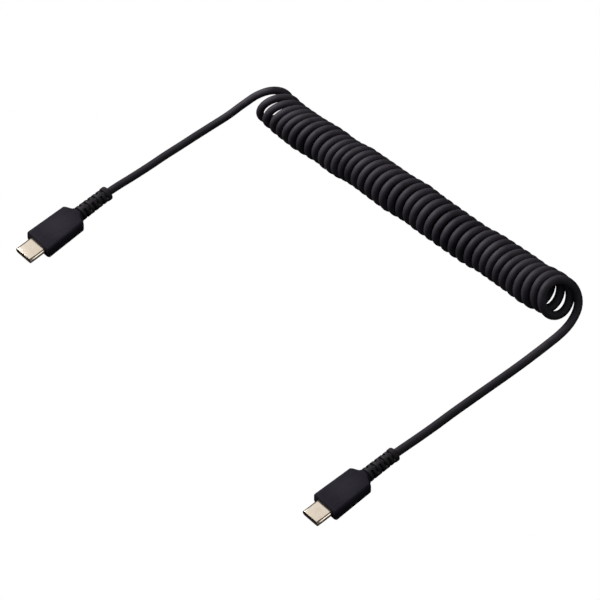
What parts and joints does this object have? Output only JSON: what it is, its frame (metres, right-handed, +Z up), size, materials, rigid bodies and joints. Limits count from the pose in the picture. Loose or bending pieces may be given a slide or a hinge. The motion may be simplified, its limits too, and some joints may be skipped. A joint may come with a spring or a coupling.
{
  "type": "coiled usb c cable",
  "caption": "Curly charging and data cord wound into a long close coil, with a moulded USB-C plug and a slotted strain relief at each end, lying on a level floor.",
  "frame": {"origin": "on the floor, at the middle in plan of the box round both plugs with their strain reliefs", "axes": "-Y is the way both plugs are pushed in, +X runs from plug A to plug B and roughly along the coil, +Z is up"},
  "size_m": [0.17, 0.1399, 0.0161],
  "materials": {
    "shell_metal": "satin champagne plating",
    "insulator": "matte",
    "housing": "fine matte",
    "strain_relief": "matte",
    "cord": "satin"
  },
  "bodies": {
    "root": {"plug_a_shell": "shell_metal", "plug_a_insulator": "insulator", "plug_a_housing": "housing", "plug_a_strain_relief": "strain_relief", "plug_b_shell": "shell_metal", "plug_b_insulator": "insulator", "plug_b_housing": "housing", "plug_b_strain_relief": "strain_relief", "tail_a": "cord", "coil": "cord", "tail_b": "cord"}
  },
  "joints": []
}
